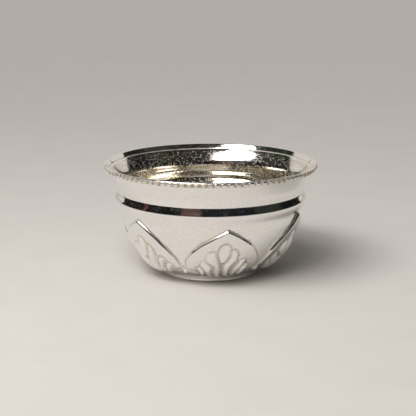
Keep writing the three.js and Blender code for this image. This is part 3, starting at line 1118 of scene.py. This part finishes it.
class BOWL_OT_stage(Operator):
    """Set the floor, lamps, world and camera"""

    bl_idname = "silver_bowl.stage"
    bl_label = "Stage"

    floor_half = 4.0
    room_columns, room_rows = 48, 12
    ground_lift = 0.5 * MM
    sky_rise = (0.1, 0.7)

    # The strips' ends as turns from the front, and their low and high ends above the horizon, in degrees
    strips = {"left_strip": (-158, -148), "right_strip": (148, 158)}
    strip_heights = (4, 11)

    eye_place = (0, -0.4048, 0.1208)
    eye_tilt = math.radians(76.79)
    focal_length = 89.06
    shift_across, shift_up = -0.0060, -0.0072
    nearest_seen, farthest_seen = 0.01, 20

    def execute(self, context):
        scene = context.scene
        setting = scene.bowl_stage
        self.floor(setting)
        self.room(setting)
        self.world(scene, setting)
        self.lamps(setting)
        self.camera(scene)
        scene.view_settings.view_transform = "Standard"
        return {"FINISHED"}

    def floor(self, setting):
        half = self.floor_half
        corners = [(-half, -half, 0), (half, -half, 0), (half, half, 0), (-half, half, 0)]
        self.card("floor", corners, [(0, 1, 2, 3)], floor_material(setting.floor))

    def card(self, name, corners, faces, material):
        mesh = bpy.data.meshes.new(name)
        mesh.from_pydata(corners, [], faces)
        mesh.materials.append(material)
        card = add_object(name, mesh)
        return card

    def room(self, setting):
        """The dark room in front of the table and two dark strips behind it, which only the silver sees."""
        material = room_material(setting.room)
        turns, heights = (setting.room_left, setting.room_right), (0.0, math.pi / 2)
        self.wall("room_walls", turns, heights, setting.room_reach, material)
        for name, ends in self.strips.items():
            self.wall(name, np.radians(ends), np.radians(self.strip_heights), setting.room_reach, material)
        corners = []
        for turn in np.linspace(*turns, self.room_columns + 1):
            for reach in (setting.table, setting.room_reach):
                corners.append(at_turn(turn, reach, self.ground_lift))
        self.mirrored_card("room_ground", corners, grid_faces(self.room_columns, 1), material)

    def wall(self, name, turns, heights, reach, material):
        """A stretch of a dome round the bowl, between two turns from the front and two heights."""
        corners = []
        for height in np.linspace(*heights, self.room_rows + 1):
            for turn in np.linspace(*turns, self.room_columns + 1):
                corners.append(at_turn(turn, reach * math.cos(height), reach * math.sin(height)))
        self.mirrored_card(name, corners, grid_faces(self.room_rows, self.room_columns), material)

    def mirrored_card(self, name, corners, faces, material):
        """A card that the camera doesn't see, and that only mirrors are lit by."""
        card = self.card(name, corners, faces, material)
        card.visible_camera = False
        card.visible_diffuse = False
        card.visible_shadow = False

    def world(self, scene, setting):
        """Soft light from above, while the camera and the silver see the backdrop's colour all round."""
        world = bpy.data.worlds.new("studio")
        world.use_nodes = True
        scene.world = world
        tree = world.node_tree
        seen = tree.nodes.new("ShaderNodeLightPath").outputs
        straight = maths(tree, "MAXIMUM", seen["Is Camera Ray"], seen["Is Glossy Ray"])
        straight = maths(tree, "MAXIMUM", straight, seen["Is Transmission Ray"])
        direction = tree.nodes.new("ShaderNodeTexCoord").outputs["Generated"]
        rise = add_node(tree, "ShaderNodeSeparateXYZ", {0: direction})["Z"]
        from_above = remap(tree, rise, *self.sky_rise, 0.0, setting.sky, interpolation_type="SMOOTHSTEP")
        strength = remap(tree, straight, 0.0, 1.0, from_above, 1.0)
        tinted = blend(tree, straight, (1, 1, 1, 1), (*setting.floor, 1))
        tree.links.new(tinted, tree.nodes["Background"].inputs["Color"])
        tree.links.new(strength, tree.nodes["Background"].inputs["Strength"])

    def lamp(self, name, kind, turn, height, reach):
        """A lamp that shines at the bowl from a turn, a height above the horizon and a distance."""
        lamp = add_object(name, bpy.data.lights.new(name, kind))
        lamp.location = at_turn(turn, reach * math.cos(height), reach * math.sin(height))
        lamp.rotation_euler = (-lamp.location).to_track_quat("-Z", "Y").to_euler()
        return lamp

    def lamps(self, setting):
        near = self.lamp("near_lamp", "AREA", setting.lamp_turn, setting.lamp_height, setting.lamp_reach).data
        near.shape = "ELLIPSE"
        near.size = setting.lamp_width
        near.size_y = setting.lamp_depth
        near.energy = setting.lamp_power
        window = self.lamp("window_light", "SUN", setting.key_turn, setting.key_height, setting.room_reach)
        window.data.energy = setting.key
        window.data.angle = setting.key_size
        window.visible_glossy = False

    def camera(self, scene):
        lens = bpy.data.cameras.new("camera")
        lens.lens = self.focal_length
        lens.shift_x = self.shift_across
        lens.shift_y = self.shift_up
        lens.clip_start = self.nearest_seen
        lens.clip_end = self.farthest_seen
        eye = add_object("camera", lens)
        eye.location = self.eye_place
        eye.rotation_euler = (self.eye_tilt, 0, 0)
        scene.camera = eye


class BOWL_PT_panel(Panel):
    """Buttons that make the bowl's pieces and its stage"""

    bl_label = "Silver bowl"
    bl_idname = "BOWL_PT_panel"
    bl_space_type = "VIEW_3D"
    bl_region_type = "UI"
    bl_category = "Silver bowl"

    def draw(self, context):
        for operator in OPERATORS:
            self.layout.operator(operator.bl_idname)


SETTINGS = {
    "bowl_sheet": SheetSizes,
    "bowl_petals": PetalSizes,
    "bowl_wire": WireSizes,
    "bowl_foot": FootSizes,
    "bowl_finish": SilverFinish,
    "bowl_stage": StageSetting,
}
OPERATORS = (BOWL_OT_sheet, BOWL_OT_wire, BOWL_OT_foot, BOWL_OT_stage)
CLASSES = (*SETTINGS.values(), *OPERATORS, BOWL_PT_panel)


def register():
    for kind in CLASSES:
        bpy.utils.register_class(kind)
    for name, group in SETTINGS.items():
        setattr(bpy.types.Scene, name, PointerProperty(type=group))


def unregister():
    for name in SETTINGS:
        delattr(bpy.types.Scene, name)
    for kind in reversed(CLASSES):
        bpy.utils.unregister_class(kind)


def main():
    register()
    bpy.ops.silver_bowl.sheet()
    bpy.ops.silver_bowl.wire()
    bpy.ops.silver_bowl.foot()
    bpy.ops.silver_bowl.stage()


if __name__ == "__main__":
    main()
